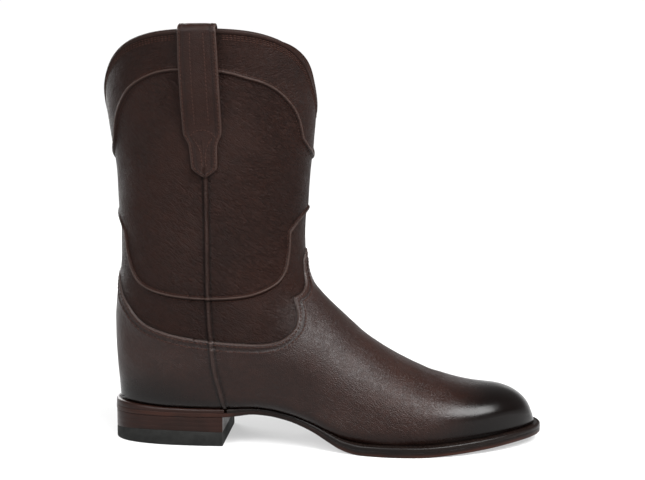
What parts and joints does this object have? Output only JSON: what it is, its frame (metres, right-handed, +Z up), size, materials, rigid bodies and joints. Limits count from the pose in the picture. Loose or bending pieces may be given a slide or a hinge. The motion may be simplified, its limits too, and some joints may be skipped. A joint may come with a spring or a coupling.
{
  "type": "roper boot",
  "caption": "Pull-on roper boot for the right foot: round toe, scalloped collar with pull straps, low stacked heel with rubber lift, leather sole with welt.",
  "frame": {"origin": "on the floor, under the centre of the boot's box", "axes": "+X towards the toe, +Y towards the medial side, +Z up; lateral side is -Y"},
  "size_m": [0.3108, 0.12, 0.294],
  "materials": {
    "upper_leather": "burnished, soft gloss",
    "insole_leather": "natural, matt",
    "welt_leather": "waxed edge",
    "sole_leather": "waxed edge",
    "stack_leather": "waxed edge",
    "lift_rubber": "matt"
  },
  "bodies": {
    "root": {"upper": "upper_leather", "insole": "insole_leather", "welt": "welt_leather", "heel_rand": "welt_leather", "outsole": "sole_leather", "heel_stack": "stack_leather", "top_lift": "lift_rubber", "pull_strap_lateral": "upper_leather", "pull_strap_medial": "upper_leather"}
  },
  "joints": []
}
